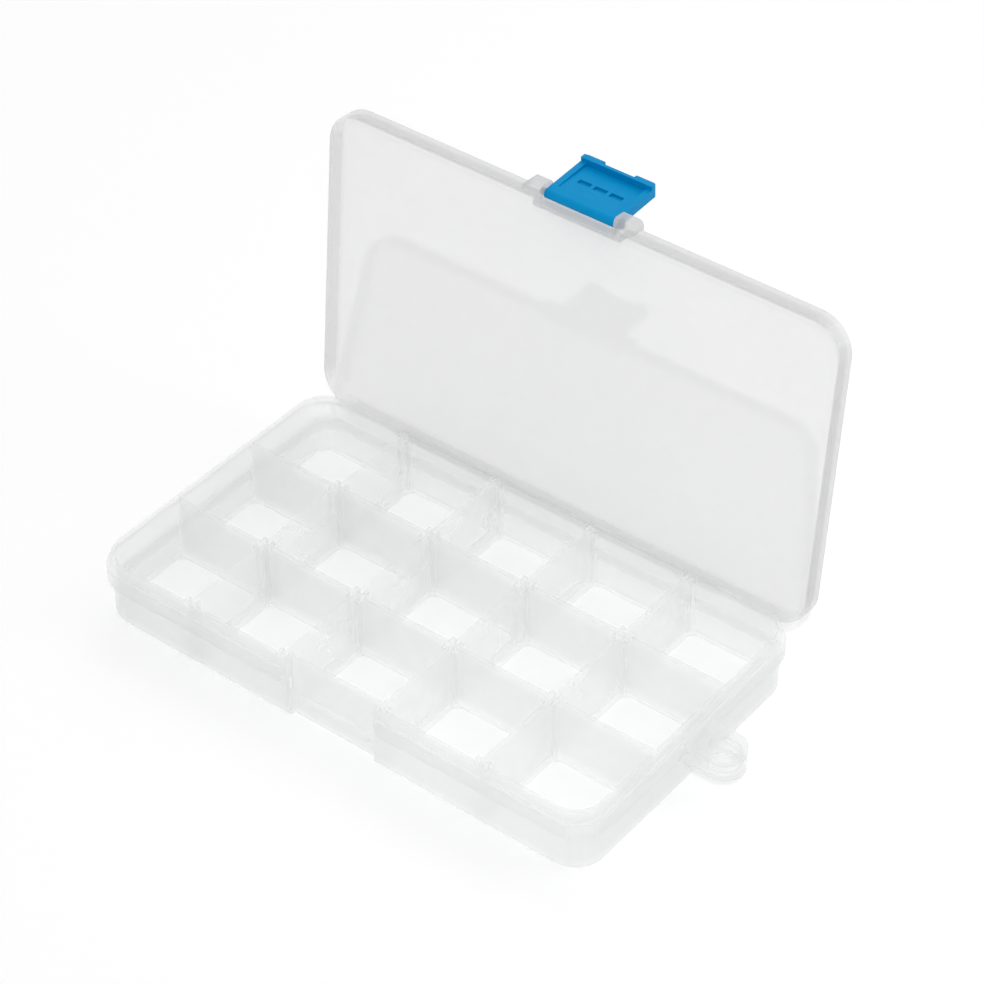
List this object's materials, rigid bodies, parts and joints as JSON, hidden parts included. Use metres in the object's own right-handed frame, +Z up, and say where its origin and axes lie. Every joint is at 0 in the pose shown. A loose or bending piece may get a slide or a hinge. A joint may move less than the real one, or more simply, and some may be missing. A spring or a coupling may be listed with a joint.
{
  "type": "compartment storage box",
  "caption": "Shallow rectangular box with a grid of small compartments, lift-out dividers, a hinged lid with a front latch, and a hanging loop on one end.",
  "frame": {"origin": "centre of the tray's underside, without the hanging tabs", "axes": "+X along the rows towards the hanging tabs, +Y towards the hinge, +Z up"},
  "size_m": [0.1903, 0.1317, 0.1205],
  "materials": {
    "tray_plastic": "satin, frosted translucent polypropylene",
    "lid_plastic": "satin, frosted translucent polypropylene",
    "divider_plastic": "satin, frosted translucent polypropylene",
    "latch_plastic": "satin, opaque blue"
  },
  "bodies": {
    "tray": {"base_tray": "tray_plastic", "hinge_strap": "tray_plastic"},
    "lid": {"lid": "lid_plastic"},
    "latch": {"latch": "latch_plastic"},
    "divider_row1_col1": {"divider_row1_col1": "divider_plastic"},
    "divider_row1_col2": {"divider_row1_col2": "divider_plastic"},
    "divider_row1_col3": {"divider_row1_col3": "divider_plastic"},
    "divider_row1_col4": {"divider_row1_col4": "divider_plastic"},
    "divider_row2_col1": {"divider_row2_col1": "divider_plastic"},
    "divider_row2_col2": {"divider_row2_col2": "divider_plastic"},
    "divider_row2_col3": {"divider_row2_col3": "divider_plastic"},
    "divider_row2_col4": {"divider_row2_col4": "divider_plastic"},
    "divider_row3_col1": {"divider_row3_col1": "divider_plastic"},
    "divider_row3_col2": {"divider_row3_col2": "divider_plastic"},
    "divider_row3_col3": {"divider_row3_col3": "divider_plastic"},
    "divider_row3_col4": {"divider_row3_col4": "divider_plastic"}
  },
  "joints": [
    {"name": "lid_hinge", "type": "hinge", "parent": "tray", "child": "lid", "pos_m": [0, 0.0497, 0.0163], "axis": [-1, 0, 0], "range_deg": [-95, 80], "deforming": ["hinge_strap"]},
    {"name": "latch_pivot", "type": "hinge", "parent": "lid", "child": "latch", "pos_m": [0, 0.06337, 0.11579], "axis": [-1, 0, 0], "range_deg": [-172, 6]},
    {"name": "lift_row1_col1", "type": "slide", "parent": "tray", "child": "divider_row1_col1", "axis": [0, 0, 1], "range_m": [0, 0.024]},
    {"name": "lift_row1_col2", "type": "slide", "parent": "tray", "child": "divider_row1_col2", "axis": [0, 0, 1], "range_m": [0, 0.024]},
    {"name": "lift_row1_col3", "type": "slide", "parent": "tray", "child": "divider_row1_col3", "axis": [0, 0, 1], "range_m": [0, 0.024]},
    {"name": "lift_row1_col4", "type": "slide", "parent": "tray", "child": "divider_row1_col4", "axis": [0, 0, 1], "range_m": [0, 0.024]},
    {"name": "lift_row2_col1", "type": "slide", "parent": "tray", "child": "divider_row2_col1", "axis": [0, 0, 1], "range_m": [0, 0.024]},
    {"name": "lift_row2_col2", "type": "slide", "parent": "tray", "child": "divider_row2_col2", "axis": [0, 0, 1], "range_m": [0, 0.024]},
    {"name": "lift_row2_col3", "type": "slide", "parent": "tray", "child": "divider_row2_col3", "axis": [0, 0, 1], "range_m": [0, 0.024]},
    {"name": "lift_row2_col4", "type": "slide", "parent": "tray", "child": "divider_row2_col4", "axis": [0, 0, 1], "range_m": [0, 0.024]},
    {"name": "lift_row3_col1", "type": "slide", "parent": "tray", "child": "divider_row3_col1", "axis": [0, 0, 1], "range_m": [0, 0.024]},
    {"name": "lift_row3_col2", "type": "slide", "parent": "tray", "child": "divider_row3_col2", "axis": [0, 0, 1], "range_m": [0, 0.024]},
    {"name": "lift_row3_col3", "type": "slide", "parent": "tray", "child": "divider_row3_col3", "axis": [0, 0, 1], "range_m": [0, 0.024]},
    {"name": "lift_row3_col4", "type": "slide", "parent": "tray", "child": "divider_row3_col4", "axis": [0, 0, 1], "range_m": [0, 0.024]}
  ]
}
